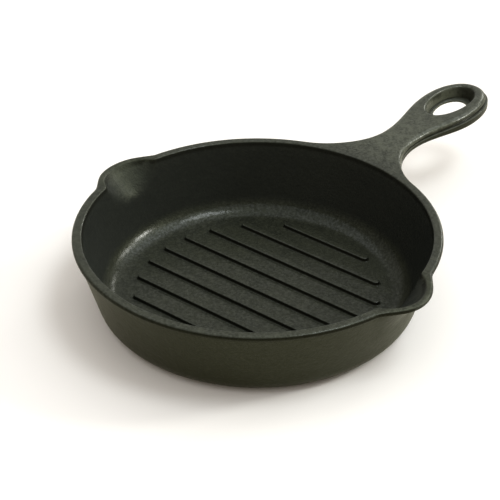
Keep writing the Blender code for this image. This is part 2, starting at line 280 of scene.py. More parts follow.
GREEN_SHEEN = (0.92, 1.0, 0.62, 1)
DEEP_PATCH = (0.0112, 0.0124, 0.0085, 1)
LIGHT_PATCH = (0.0165, 0.0176, 0.0120, 1)
LIGHT_BLOTCH = (0.0235, 0.0255, 0.0160, 1)
PALE_GRAIN = (0.0420, 0.0450, 0.0300, 1)
# Inner wall: a painted cool shade, not the iron's own colour.
COOL_WALL_SHADE = (0.0165, 0.0183, 0.0166, 1)
# Outer wall: a painted warm reflection of the table.
WARM_BOUNCE_BROWN = (0.0117, 0.0116, 0.0050, 1)
# Rubbed tops: hand polish with painted light on it.
RUBBED_AND_LIT = (0.0640, 0.0690, 0.0500, 1)
# Worn edges: paler bare iron with a painted highlight on it.
WORN_EDGE_AND_HIGHLIGHT = (0.064, 0.068, 0.055, 1)
# Baked oil with painted shade: the dark of hollows, steep faces and shaded sides.
BURNT_OIL_AND_SHADE = (0.0045, 0.0040, 0.0025, 1)
CAST_GRAIN_DEPTH = 0.34 * MM
OIL_GRAIN_DEPTH = 0.08 * MM


def seasoned_iron():
    """Sand-cast iron under baked oil: fine grain, slow tint changes, paler worn edges, with painted light and
    shade laid into the colour in marked places.
    """
    material = bpy.data.materials.new("seasoned_iron")
    material.use_nodes = True
    nodes, links = material.node_tree.nodes, material.node_tree.links
    shader = nodes["Principled BSDF"]
    shader.inputs["Metallic"].default_value = 0.0
    shader.inputs["Specular IOR Level"].default_value = 0.16
    shader.inputs["Specular Tint"].default_value = GREEN_SHEEN
    shader.inputs["Coat Roughness"].default_value = 0.18
    place = nodes.new("ShaderNodeTexCoord").outputs["Object"]

    def noise(scale, detail, roughness):
        made = nodes.new("ShaderNodeTexNoise")
        made.inputs["Scale"].default_value = scale
        made.inputs["Detail"].default_value = detail
        made.inputs["Roughness"].default_value = roughness
        links.new(place, made.inputs["Vector"])
        return made.outputs["Fac"]

    def remap(value, low, high, to_low, to_high):
        made = nodes.new("ShaderNodeMapRange")
        links.new(value, made.inputs["Value"])
        for label, number in (("From Min", low), ("From Max", high), ("To Min", to_low), ("To Max", to_high)):
            made.inputs[label].default_value = number
        return made.outputs["Result"]

    def mixed(share, first, second):
        made = nodes.new("ShaderNodeMix")
        made.data_type = "RGBA"
        links.new(share, made.inputs["Factor"])
        for label, colour in ((6, first), (7, second)):
            if isinstance(colour, tuple):
                made.inputs[label].default_value = colour
            else:
                links.new(colour, made.inputs[label])
        return made.outputs[2]

    def joined(first, second, operation="ADD"):
        made = nodes.new("ShaderNodeMath")
        made.operation = operation
        links.new(first, made.inputs[0])
        links.new(second, made.inputs[1])
        return made.outputs[0]

    def mask(label):
        made = nodes.new("ShaderNodeAttribute")
        made.attribute_name = label
        return made.outputs["Fac"]

    def bumped(height, depth):
        made = nodes.new("ShaderNodeBump")
        made.inputs["Strength"].default_value = 1.0
        made.inputs["Distance"].default_value = depth
        links.new(height, made.inputs["Height"])
        return made.outputs["Normal"]

    # Patches are about 40 mm across, blotches 5 mm, the grain 1.6 mm and its finest part 0.7 mm.
    patches = noise(26.0, 3.0, 0.55)
    blotches = noise(210.0, 3.0, 0.6)
    grain = noise(640.0, 3.0, 0.62)
    fine_grain = noise(1500.0, 2.0, 0.5)
    tint = mixed(remap(patches, 0.35, 0.65, 0.0, 1.0), DEEP_PATCH, LIGHT_PATCH)
    tint = mixed(remap(blotches, 0.40, 0.72, 0.0, 0.55), tint, LIGHT_BLOTCH)
    tint = mixed(remap(grain, 0.46, 0.74, 0.0, 0.45), tint, PALE_GRAIN)
    # Painted cool shade on the inner wall.
    tint = mixed(mask("cool_wall_shade"), tint, COOL_WALL_SHADE)
    # Painted warm reflection of the table on the outer wall.
    tint = mixed(mask("warm_bounce"), tint, WARM_BOUNCE_BROWN)
    speckle = remap(joined(blotches, grain), 0.80, 1.20, 0.30, 1.15)
    # Tops near the rim and on the handle are lighter: hand polish with painted light.
    tint = mixed(joined(mask("rubbed_and_lit"), speckle, "MULTIPLY"), tint, RUBBED_AND_LIT)
    # Worn edges are paler: real wear with a painted highlight.
    tint = mixed(joined(mask("worn_and_highlight"), remap(blotches, 0.30, 0.65, 0.35, 1.0), "MULTIPLY"), tint, WORN_EDGE_AND_HIGHLIGHT)
    # Painted shade, partly baked oil, in hollows and on steep shaded faces.
    tint = mixed(mask("oil_and_shade"), tint, BURNT_OIL_AND_SHADE)
    links.new(tint, shader.inputs["Base Color"])
    coat = joined(mask("gloss"), remap(grain, 0.34, 0.68, 0.12, 0.68), "MULTIPLY")
    links.new(coat, shader.inputs["Coat Weight"])
    links.new(remap(joined(patches, grain), 0.7, 1.3, 0.36, 0.48), shader.inputs["Roughness"])
    height = joined(joined(remap(blotches, 0.0, 1.0, 0.0, 0.9), remap(grain, 0.0, 1.0, 0.0, 0.5)),
                   remap(fine_grain, 0.0, 1.0, 0.0, 0.22))
    links.new(bumped(height, CAST_GRAIN_DEPTH), shader.inputs["Normal"])
    links.new(bumped(height, OIL_GRAIN_DEPTH), shader.inputs["Coat Normal"])
    return material


IRON = seasoned_iron()

rule = Rule("turned_bowl_with_spouts", {
    "Steps round": ("NodeSocketInt", BOWL_STEPS_ROUND),
    "Crowding at spouts": ("NodeSocketFloat", CROWDING_AT_SPOUTS),
    "Height": ("NodeSocketFloat", BOWL_HEIGHT),
    "Lip dip": ("NodeSocketFloat", SPOUT_LIP_DIP),
    "Dip half width": ("NodeSocketFloat", SPOUT_CHANNEL_RADIUS),
    "Material": ("NodeSocketMaterial", IRON),
})
skin, row, step, place = rule.skin()
turn = rule.math("MULTIPLY", math.tau, rule.math("DIVIDE", step, rule.given["Steps round"]))
crowd = rule.math("MULTIPLY", rule.math("MULTIPLY", rule.given["Crowding at spouts"], 0.5),
                  rule.math("SINE", rule.math("MULTIPLY", turn, 2.0)))
angle = rule.math("ADD", turn, crowd)
along, across = rule.math("COSINE", angle), rule.math("SINE", angle)
# In plan the spout's nose is a circle on the Y axis; where it reaches past the round wall
# it pushes the wall out, and the two meet in a soft shoulder.
plain = rule.sample(rule.attribute("plain"), row)
nose = rule.sample(rule.attribute("nose"), row)
centre = rule.math("SUBTRACT", rule.sample(rule.attribute("tip"), row), nose)
aside = rule.math("MULTIPLY", centre, along)
inside_nose = rule.math("SUBTRACT", rule.math("MULTIPLY", nose, nose), rule.math("MULTIPLY", aside, aside))
nose_reach = rule.math("ADD", rule.math("MULTIPLY", centre, rule.math("ABSOLUTE", across)),
                       rule.math("SQRT", rule.math("MAXIMUM", inside_nose, 0.0)))
nose_reach = rule.math("MULTIPLY", nose_reach, rule.math("GREATER_THAN", inside_nose, 0.0))
pushed = rule.blended_max(plain, nose_reach, rule.sample(rule.attribute("blend"), row))
radius = rule.math("ADD", pushed, rule.math("SUBTRACT", place["X"], plain))
# The lip dips a little at each spout, most at the rim and not at all at the base.
off_axis = rule.math("ABSOLUTE", rule.math("ARCTAN2", along, rule.math("ABSOLUTE", across)))
near_spout = rule.math("DIVIDE", off_axis, rule.math("ARCTAN2", rule.given["Dip half width"], RIM_RADIUS))
hollow = rule.math("COSINE", rule.math("MULTIPLY", rule.math("MINIMUM", near_spout, 1.0), math.pi / 2))
height_share = rule.math("DIVIDE", place["Z"], rule.given["Height"])
dip = rule.math("MULTIPLY", rule.given["Lip dip"],
                rule.math("MULTIPLY", rule.math("MULTIPLY", hollow, hollow),
                          rule.math("MULTIPLY", height_share, height_share)))
rule.finish(rule.moved(skin, "Position", rule.math("MULTIPLY", radius, along),
                       rule.math("MULTIPLY", radius, across), rule.math("SUBTRACT", place["Z"], dip)))
bowl_mesh = rule.applied_to("bowl", section_mesh())


# The handle
# The handle is cast in one with the bowl: a flat strap that flares where it leaves the rim
# and widens to a round head. Its upper edge is rounded over down to the mould's parting
# line, below which a narrow flange stands out; a long drop-shaped hole is for hanging.
HANDLE_REACH = 118.0 * MM
HANDLE_NECK_FROM_RIM = 35.0 * MM
HANDLE_NECK_WIDTH = 21.8 * MM
HANDLE_NECK_THICKNESS = 6.8 * MM
HANDLE_NECK_FLANGE = 0.3 * MM
HANDLE_HEAD_FROM_TIP = 31.5 * MM
HANDLE_HEAD_WIDTH = 36.4 * MM
HANDLE_HEAD_THICKNESS = 8.4 * MM
HANDLE_HEAD_FLANGE = 1.6 * MM
HANDLE_HEAD_FULLNESS = 2.15
HANDLE_ROOT_EDGE = 1.4 * MM
HANDLE_EDGE = 4.0 * MM
HANDLE_PARTING_DEPTH = 4.0 * MM
HANDLE_LEDGE_RISE = 1.1 * MM
HANDLE_GROOVE_DEPTH = 0.8 * MM
HANDLE_GROOVE_SHARE_AT_ROOT = 0.25
HANDLE_UNDER_EDGE_RADIUS = 1.2 * MM
ROOT_IN_WALL = 2.0 * MM
ROOT_RUN_OUT_ANGLE = math.radians(9.0)
ROOT_RUN_OUT_DEPTH = 3.8 * MM
ROOT_RUN_OUT_STEPS = 10
HOLE_LENGTH = 48.8 * MM
HOLE_WIDTH = 23.8 * MM
HOLE_FROM_TIP = 4.1 * MM
HOLE_ASIDE = 0.5 * MM
HOLE_WIDEST_FROM_OUTER_END = 22.6 * MM
HOLE_TOP_EDGE_RADIUS = 2.2 * MM
HOLE_SIDE_LEAN = math.radians(20.0)
HOLE_LEDGE_DEPTH = 6.8 * MM
HOLE_LEDGE = 3.0 * MM
HOLE_SIDE_SLOPE = 0.52
HOLE_OUTER_END_SLOPE = 1.4
HOLE_INNER_END_SLOPE = 1.55
HOLE_STEPS_PER_QUARTER = 24
OUTLINE_STEPS = 40
EDGE_STEPS = 10
FLAT_MARGIN = 0.4 * MM
CORE_STEPS_ROUND = 180
CORE_BELOW_RIM = 20.0 * MM
CORE_ABOVE_RIM = 10.0 * MM


def smooth_share(value, start, end):
    """Rises softly from 0 at the start to 1 at the end."""
    share = min(max((value - start) / (end - start), 0.0), 1.0)
    return share * share * (3 - 2 * share)


def handle_stations():
    """Where the neck is narrowest, where the head is widest, and the tip."""
    tip_x = RIM_RADIUS + HANDLE_REACH
    return RIM_RADIUS + HANDLE_NECK_FROM_RIM, tip_x - HANDLE_HEAD_FROM_TIP, tip_x


def handle_half_outline():
    """One side of the handle in plan, from inside the bowl's wall out to the tip."""
    neck_x, head_x, tip_x = handle_stations()
    neck, head = HANDLE_NECK_WIDTH / 2, HANDLE_HEAD_WIDTH / 2
    fillet = (neck_x ** 2 + neck ** 2 - RIM_RADIUS ** 2) / (2 * (RIM_RADIUS - neck))
    centre = (neck_x, neck + fillet)
    touch = math.atan2(centre[1], centre[0])
    points = []
    # The root's edge runs out along the rim, then turns off it in a fillet to the neck.
    for i in range(ROOT_RUN_OUT_STEPS):
        share = 1 - i / ROOT_RUN_OUT_STEPS
        radius = RIM_RADIUS - ROOT_RUN_OUT_DEPTH * share ** 2
        turn = touch + ROOT_RUN_OUT_ANGLE * share
        points.append((radius * math.cos(turn), radius * math.sin(turn)))
    points += arc(centre, fillet, touch - math.pi, -math.pi / 2, OUTLINE_STEPS)
    for i in range(1, OUTLINE_STEPS):
        share = i / OUTLINE_STEPS
        rise = (1 - math.cos(math.pi * share)) / 2
        points.append((neck_x + (head_x - neck_x) * share, neck + (head - neck) * rise))
    power = 2 / HANDLE_HEAD_FULLNESS
    for i in range(OUTLINE_STEPS):
        angle = math.pi / 2 * (1 - i / OUTLINE_STEPS)
        points.append((head_x + HANDLE_HEAD_FROM_TIP * math.cos(angle) ** power,
                       head * math.sin(angle) ** power))
    return points + [(tip_x, 0.0)]


def inward_normals(outline):
    """Unit normals of an outline whose inside lies to the right of its direction."""
    normals = []
    last = len(outline) - 1
    for i in range(last + 1):
        before, after = outline[max(i - 1, 0)], outline[min(i + 1, last)]
        dx, dy = after[0] - before[0], after[1] - before[1]
        length = math.hypot(dx, dy)
        normals.append((dy / length, -dx / length))
    return normals


def handle_section(x):
    """Inset and height from the under face up the handle's side to its top."""
    neck_x, head_x, tip_x = handle_stations()
    to_head = smooth_share(x, neck_x, head_x)
    thickness = HANDLE_NECK_THICKNESS + (HANDLE_HEAD_THICKNESS - HANDLE_NECK_THICKNESS) * to_head
    flange = HANDLE_NECK_FLANGE + (HANDLE_HEAD_FLANGE - HANDLE_NECK_FLANGE) * to_head
    edge = HANDLE_ROOT_EDGE + (HANDLE_EDGE - HANDLE_ROOT_EDGE) * smooth_share(x, RIM_RADIUS, neck_x)
    bottom, parting = BOWL_HEIGHT - thickness, BOWL_HEIGHT - HANDLE_PARTING_DEPTH
    under, ledge = HANDLE_UNDER_EDGE_RADIUS, parting + HANDLE_LEDGE_RISE
    full = smooth_share(x, RIM_RADIUS, neck_x)
    groove = HANDLE_GROOVE_DEPTH * (HANDLE_GROOVE_SHARE_AT_ROOT + (1 - HANDLE_GROOVE_SHARE_AT_ROOT) * full)
    levels = [(under - flange + FLAT_MARGIN, bottom)]
    levels += [(under - flange - under * math.sin(a), bottom + (under - under * math.cos(a)))
               for a in (math.pi / 12 * i for i in range(7))]
    # The flange's rounded corner at the parting line, the groove above it and the groove's roof.
    levels += [(-flange, parting - 0.35 * MM), (-flange + 0.1 * MM, parting - 0.1 * MM)]
    levels += [(-flange + 0.35 * MM, parting), (groove * 0.75, parting + 0.1 * MM)]
    levels += [(groove, parting + 0.3 * MM), (groove, ledge - 0.45 * MM)]
    levels += [(groove * 0.6, ledge - 0.2 * MM), (0.0, ledge)]
    levels += [(edge - edge * math.cos(a), ledge + (BOWL_HEIGHT - ledge) * math.sin(a))
               for a in (math.pi / (2 * EDGE_STEPS) * i for i in range(1, EDGE_STEPS + 1))]
    return levels + [(edge + FLAT_MARGIN, BOWL_HEIGHT)]


def hole_outline(inset):
    """The hanging hole in plan, drawn in by the inset: more at its sloping ends than aside."""
    outer_end = RIM_RADIUS + HANDLE_REACH - HOLE_FROM_TIP
    widest_x = outer_end - HOLE_WIDEST_FROM_OUTER_END
    inner = HOLE_LENGTH - HOLE_WIDEST_FROM_OUTER_END - inset * HOLE_INNER_END_SLOPE
    outer = HOLE_WIDEST_FROM_OUTER_END - inset * HOLE_OUTER_END_SLOPE
    half_width = HOLE_WIDTH / 2 - inset * HOLE_SIDE_SLOPE
    points = []
    for i in range(4 * HOLE_STEPS_PER_QUARTER):
        angle = math.pi / 2 * i / HOLE_STEPS_PER_QUARTER
        reach = outer if math.cos(angle) > 0 else inner
        points.append((widest_x + reach * math.cos(angle), HOLE_ASIDE + half_width * math.sin(angle)))
    return points


def hole_loops():
    """Rings down the hole's side, from the flat top to the under face."""
    ledge, bottom = BOWL_HEIGHT - HOLE_LEDGE_DEPTH, BOWL_HEIGHT - HANDLE_HEAD_THICKNESS
    edge, lean = HOLE_TOP_EDGE_RADIUS, HOLE_SIDE_LEAN
    bend = [(edge * math.sin(a), BOWL_HEIGHT - edge + edge * math.cos(a))
            for a in ((math.pi / 2 - lean) * i / (EDGE_STEPS - 1) for i in range(EDGE_STEPS))]
    side = bend[-1][0] + (bend[-1][1] - ledge) * math.tan(lean)
    narrow = side + HOLE_LEDGE
    levels = [(-FLAT_MARGIN, BOWL_HEIGHT)] + bend
    # The hollow foot of the side, the ledge with its rounded corner, and the lower edge.
    levels += [(side - 0.9 * MM * math.tan(lean), ledge + 0.9 * MM), (side - 0.3 * MM, ledge + 0.4 * MM)]
    levels += [(side - 0.2 * MM, ledge + 0.1 * MM), (side + 0.1 * MM, ledge)]
    levels += [(narrow - 0.3 * MM, ledge - 0.05 * MM), (narrow - 0.1 * MM, ledge - 0.15 * MM)]
    levels += [(narrow, ledge - 0.4 * MM), (narrow, bottom + 0.7 * MM)]
    levels += [(narrow - 0.2 * MM, bottom + 0.2 * MM), (narrow - 0.7 * MM, bottom)]
    levels += [(narrow - 0.7 * MM - FLAT_MARGIN, bottom)]
    return [[(x, y, z) for x, y in hole_outline(inset)] for inset, z in levels]


def skin_rings(shell, loops):
    """Join each loop of points to the next with faces, and give back the loops' corners."""
    rings = [[shell.verts.new(point) for point in loop] for loop in loops]
    count = len(loops[0])
    for lower, upper in zip(rings, rings[1:]):
        for i in range(count):
            j = (i + 1) % count
            shell.faces.new((lower[i], lower[j], upper[j], upper[i]))
    return rings


def ring_edges(shell, ring):
    return [shell.edges.get((ring[i - 1], ring[i])) for i in range(len(ring))]


def mesh_of(shell, name):
    """A mesh from a closed shell, its faces turned outwards."""
    bmesh.ops.recalc_face_normals(shell, faces=shell.faces)
    mesh = bpy.data.meshes.new(name)
    shell.to_mesh(mesh)
    shell.free()
    return mesh


def handle_shell():
    half = handle_half_outline()
    outline = half + [(x, -y) for x, y in reversed(half[:-1])]
    sides = [[(x + inset * nx, y + inset * ny, z) for inset, z in handle_section(x)]
             for (x, y), (nx, ny) in zip(outline, inward_normals(outline))]
    shell = bmesh.new()
    outer = skin_rings(shell, [list(loop) for loop in zip(*sides)])
    hole = skin_rings(shell, hole_loops())
    for outer_ring, hole_ring in ((outer[-1], hole[0]), (outer[0], hole[-1])):
        bmesh.ops.triangle_fill(shell, use_beauty=True, use_dissolve=False,
                                edges=ring_edges(shell, outer_ring) + ring_edges(shell, hole_ring))
    return mesh_of(shell, "handle")


def wall_core():
    """A cone that runs up inside the wall, where the handle's root is cut off."""
    shell = bmesh.new()
    turns = [math.tau * i / CORE_STEPS_ROUND for i in range(CORE_STEPS_ROUND)]
    loops = []
    for z in (BOWL_HEIGHT - CORE_BELOW_RIM, BOWL_HEIGHT + CORE_ABOVE_RIM):
        radius = outer_wall_radius(z) - ROOT_IN_WALL
        loops.append([(radius * math.cos(turn), radius * math.sin(turn), z) for turn in turns])
    rings = skin_rings(shell, loops)
    shell.faces.new(rings[0])
    shell.faces.new(rings[1])
    return mesh_of(shell, "wall_core")


def combined(name, first, second, operation):
    """A plain mesh of two solids put together, or of one cut by the other."""
    objects = []
    for mesh in (first, second):
        objects.append(bpy.data.objects.new(mesh.name, mesh))
        bpy.context.scene.collection.objects.link(objects[-1])
    modifier = objects[0].modifiers.new(name, "BOOLEAN")
    modifier.operation = operation
    modifier.object = objects[1]
    modifier.solver = "EXACT"
    modifier.use_self = operation == "DIFFERENCE"
    graph = bpy.context.evaluated_depsgraph_get()
    made = bpy.data.meshes.new_from_object(objects[0].evaluated_get(graph))
    for item in objects:
        bpy.data.objects.remove(item, do_unlink=True)
    made.name = name
    return made


SHARP_ANGLE = math.radians(38.0)
WEAR_RADIUS = 1.2 * MM
SHORTEST_EDGE = 0.15 * MM
SOFTENING_ROUNDS = 2
WORN_AND_HIGHLIGHT_ON_RIM = 0.3
RUBBED_AND_LIT_ON_RIM = 0.22
RUBBED_AND_LIT_LESS_PAST_NECK = 0.4
PAINTED_LIGHT_IN_SCOOP = 0.11
PAINTED_LIGHT_IN_HOLE = 1.5
OIL_AND_SHADE_ON_INNER_LIP = 0.6
PAINTED_SHADE_ON_HANDLE_SIDE = 0.75
OIL_AND_SHADE_AT_HOLE_END = 0.75
COOL_SHADE_INSIDE = 0.8
WARM_BOUNCE_OUTSIDE = 0.65
DULL_WITH_OIL_AND_SHADE = 0.9
DULL_OUTSIDE = 0.75
DULL_NEAR_SCOOP = 0.85
DULL_WHERE_COOL_SHADE = 0.85


def surface_bend(mesh, spots, normals):
    """How sharply the surface turns at each point: above 0 on edges, below 0 in hollows."""
    pairs = np.empty(len(mesh.edges) * 2, dtype=np.int64)
    mesh.edges.foreach_get("vertices", pairs)
    firsts, seconds = pairs.reshape(-1, 2).T
    bend, neighbours = np.zeros(len(spots)), np.zeros(len(spots))
    for a, b in ((firsts, seconds), (seconds, firsts)):
        step = spots[b] - spots[a]
        length = np.maximum((step ** 2).sum(1), SHORTEST_EDGE ** 2)
        np.add.at(bend, a, -2.0 * (step * normals[a]).sum(1) / length)
        np.add.at(neighbours, a, 1.0)
    neighbours = np.maximum(neighbours, 1.0)
    bend = bend / neighbours
    for _ in range(SOFTENING_ROUNDS):
        mean = np.zeros(len(spots))
        np.add.at(mean, firsts, bend[seconds])
        np.add.at(mean, seconds, bend[firsts])
        bend = 0.5 * bend + 0.5 * mean / neighbours
    return bend


def ramp(value, start, end):
    """Rises evenly from 0 at the start to 1 at the end, which may lie below the start."""
    return np.clip((value - start) / (end - start), 0.0, 1.0)


def mark_wear_light_and_shade(mesh, sides_shaded):
    """Store where edges are rubbed bare or catch a painted highlight, where hands polish or painted light
    falls, where burnt oil gathers or painted shade falls, and where the wall takes a painted cool shade or a
    painted warm reflection.
    """
    spots = np.empty(len(mesh.vertices) * 3)
    mesh.vertices.foreach_get("co", spots)
    spots = spots.reshape(-1, 3)
    normals = np.array([normal.vector[:] for normal in mesh.vertex_normals])
    bend = surface_bend(mesh, spots, normals) * WEAR_RADIUS
    up = normals[:, 2]
    x, height, off_axis = spots[:, 0], spots[:, 2], np.abs(spots[:, 1])
    radius = np.hypot(x, spots[:, 1])
    wall = inner_wall_radius(height)
    bead_foot = BOWL_HEIGHT - BEAD_HEIGHT
    # The handle and the rim's top are rubbed by hands and cloths, the inside is left matt. Edges that face up
    # are paler: real wear with a painted highlight on it.
    out_on_handle = ramp(radius, RIM_RADIUS - 4 * MM, RIM_RADIUS + 20 * MM)
    worn_and_highlight = np.clip(bend, 0.0, 1.0) * np.clip(up * 2.0 + 0.3, 0.0, 1.0)
    worn_and_highlight *= WORN_AND_HIGHLIGHT_ON_RIM + (1.0 - WORN_AND_HIGHLIGHT_ON_RIM) * out_on_handle
    # Up-facing tops near the rim and on the handle are lighter: hand polish with painted light.
    past_neck = ramp(x, 150 * MM, 175 * MM)
    on_top = ramp(height, BOWL_HEIGHT - 8 * MM, BOWL_HEIGHT - 3 * MM)
    on_top *= np.clip(up * 1.4 - 0.2 + 0.5 * out_on_handle, 0.0, 1.0)
    on_top *= RUBBED_AND_LIT_ON_RIM + (1.0 - RUBBED_AND_LIT_ON_RIM) * out_on_handle
    on_top *= 1.0 - RUBBED_AND_LIT_LESS_PAST_NECK * past_neck
    # Painted shade, partly over real baked oil: darker in the hollows, on the steep face of the rim's bead,
    # on the inner lip, beside the ribs and on the handle's steep sides.
    hollow = np.clip(-bend * 1.5 - 0.35, 0.0, 1.0)
    on_bead = (height > bead_foot - 0.6 * MM) & (radius > RIM_RADIUS - BEAD_OVERHANG - 0.3 * MM)
    bead_face = on_bead * np.clip(2.6 - up * 3.0, 0.0, 1.0) * (out_on_handle < 0.5)
    at_lip = (radius < wall + 2.0 * MM) & (height > BOWL_HEIGHT - 2.2 * MM)
    inner_lip = OIL_AND_SHADE_ON_INNER_LIP * at_lip * np.clip(2.2 - up * 2.6, 0.0, 1.0)
    rib_side = sides_shaded * np.clip(1.5 - up * 1.7, 0.0, 1.0)
    handle_side = PAINTED_SHADE_ON_HANDLE_SIDE * out_on_handle * ramp(up, 0.45, 0.15) * (off_axis > 11 * MM)
    # The hanging hole's side gets painted light all down, and painted shade, partly baked oil, at its outer
    # end.
    hole_end = RIM_RADIUS + HANDLE_REACH - HOLE_FROM_TIP
    in_hole = (x > hole_end - HOLE_LENGTH - 2 * MM) & (x < hole_end + 1 * MM)
    in_hole &= (off_axis < 13.5 * MM) & (up < 0.8)
    hole_shade = OIL_AND_SHADE_AT_HOLE_END * in_hole * ramp(x, hole_end - 9 * MM, hole_end - 5 * MM)
    oil_and_shade = np.max([hollow, bead_face, inner_lip, rib_side, handle_side, hole_shade], axis=0)
    # The wall's outside keeps the dry look of the mould; its brown tint is a painted warm reflection of the
    # table.
    outside = (height < bead_foot) & (up < 0.25) & (
        radius > RIM_RADIUS - BEAD_OVERHANG - 2.4 * MM - (bead_foot - height) * 0.6)
    # The scoops of the spouts get a little painted light, and have lost their gloss.
    in_scoop = ramp(radius - wall, 1.8 * MM, 4.8 * MM) * (off_axis > np.abs(x))
    in_scoop *= np.clip(up * 3.0 - 0.8, 0.0, 1.0) * ramp(BOWL_HEIGHT - height, 0.6 * MM, 2.1 * MM)
    near_scoop = ramp(np.abs(x), 26 * MM, 18 * MM) * (off_axis > 70 * MM)
    near_scoop *= ramp(height, BOWL_HEIGHT - 27 * MM, BOWL_HEIGHT - 19 * MM)
    # The inner wall, and the wall round the scoops, gets a cooler, bluer tint: painted shade standing in for
    # the cool light that falls there.
    cool_wall_shade = (radius < wall + 1.0 * MM) * ramp(up, 0.60, 0.30)
    cool_wall_shade = np.maximum(cool_wall_shade, near_scoop * (height < BOWL_HEIGHT - 1.0 * MM) * (up > 0.0)) * COOL_SHADE_INSIDE
    gloss = (1.0 - DULL_WITH_OIL_AND_SHADE * oil_and_shade) * (1.0 - DULL_OUTSIDE * outside)
    gloss *= (1.0 - DULL_NEAR_SCOOP * near_scoop) * (1.0 - DULL_WHERE_COOL_SHADE * cool_wall_shade)
    rubbed_and_lit = np.max([on_top, PAINTED_LIGHT_IN_SCOOP * in_scoop, PAINTED_LIGHT_IN_HOLE * in_hole], axis=0)
    for label, values in (("worn_and_highlight", worn_and_highlight), ("rubbed_and_lit", rubbed_and_lit), ("oil_and_shade", oil_and_shade), ("gloss", gloss),
                          ("cool_wall_shade", cool_wall_shade), ("warm_bounce", WARM_BOUNCE_OUTSIDE * outside)):
        mesh.attributes.new(label, "FLOAT", "POINT").data.foreach_set("value", values)


def finished_piece(name, mesh, nodes, sides_shaded=0.0):
    """Dress a mesh in iron and let it stand for its nodes of the solid model."""
    mesh.materials.clear()
    mesh.materials.append(IRON)
    mesh.shade_smooth()
    mesh.set_sharp_from_angle(angle=SHARP_ANGLE)
    mark_wear_light_and_shade(mesh, sides_shaded)
    piece = bpy.data.objects.new(name, mesh)
    bpy.context.scene.collection.objects.link(piece)
    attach(piece, "root")
    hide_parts(*nodes)


WELD_DISTANCE = 0.02 * MM
SHORTEST_KEPT = 0.001 * MM


def weld_and_clear(mesh):
    """Join the points that the cuts leave side by side, and drop slivers that hang loose."""
    shell = bmesh.new()
    shell.from_mesh(mesh)
    bmesh.ops.triangulate(shell, faces=[face for face in shell.faces if len(face.verts) > 4])
    bmesh.ops.remove_doubles(shell, verts=shell.verts, dist=WELD_DISTANCE)
    bmesh.ops.dissolve_degenerate(shell, edges=shell.edges, dist=SHORTEST_KEPT)
    shell.verts.index_update()
    same_corners = {}
    for face in shell.faces:
        same_corners.setdefault(frozenset(vert.index for vert in face.verts), []).append(face)
    doubled = [face for faces in same_corners.values() if len(faces) > 1 for face in faces]
    bmesh.ops.delete(shell, geom=doubled, context="FACES")
    # Walk from face to face over shared edges: the casting is the largest island.
    unseen = set(shell.faces)
    islands = []
    while unseen:
        island = [unseen.pop()]
        for face in island:
            near = {other for edge in face.edges for other in edge.link_faces} & unseen
            unseen -= near
            island += near
        islands.append(island)
    islands.sort(key=len)
    loose = [face for island in islands[:-1] for face in island]
    bmesh.ops.delete(shell, geom=loose, context="FACES")
    shell.to_mesh(mesh)
    shell.free()


root_cut = combined("handle", handle_shell(), wall_core(), "DIFFERENCE")
casting = combined("pan_casting", bowl_mesh, root_cut, "UNION")
weld_and_clear(casting)
finished_piece("pan_casting", casting, ["bowl", "handle"])


# The ribs
# Nine low ribs stand on the floor, cast with it; their tops brown the food and the
# channels between carry the fat to the spouts. Each is a bar with round ends and a soft
# foot, and their ends lie on one circle inside the floor's edge.
RIB_COUNT = 9
RIB_SIDE_MARGIN = 10.95 * MM
RIB_HEIGHT = 2.1 * MM
RIB_TOP_HALF_WIDTH = 2.0 * MM
RIB_FOOT_HALF_WIDTH = 2.4 * MM
RIB_TOP_EDGE_RADIUS = 0.7 * MM
RIB_ROOT_RADIUS = 0.8 * MM
RIB_END_MARGIN = 5.5 * MM
RIB_SHORTEST = 61.0 * MM
RIB_BURIED = 0.4 * MM
RIB_TOE_STEP = 0.05 * MM
RIB_TOE_SUNK = 0.02 * MM
RIB_STEPS_ROUND = 48
RIB_SIDES_SHADED = 0.8


def rib_section():
    """Distance from the rib's middle line and height, from its buried foot up to its crown."""
    lean = math.atan2(RIB_FOOT_HALF_WIDTH - RIB_TOP_HALF_WIDTH, RIB_HEIGHT)
    toe = RIB_FOOT_HALF_WIDTH + RIB_ROOT_RADIUS * math.tan(math.pi / 4 - lean / 2)
    points = [(0.0, -RIB_BURIED), (toe, -RIB_BURIED), (toe + RIB_TOE_STEP, -RIB_TOE_SUNK)]
    points += arc((toe, RIB_ROOT_RADIUS), RIB_ROOT_RADIUS, -math.pi / 2, -math.pi + lean, steps=7)
    reach = RIB_TOP_EDGE_RADIUS * math.tan(math.pi / 4 - lean / 2)
    centre = (RIB_TOP_HALF_WIDTH - reach, RIB_HEIGHT - RIB_TOP_EDGE_RADIUS)
    points += arc(centre, RIB_TOP_EDGE_RADIUS, lean, math.pi / 2, steps=7)
    points += [(centre[0] * 0.5, RIB_HEIGHT), (0.0, RIB_HEIGHT)]
    mesh = bpy.data.meshes.new("rib_section")
    mesh.from_pydata([(u, 0.0, v) for u, v in points], [(i, i + 1) for i in range(len(points) - 1)], [])
    return mesh


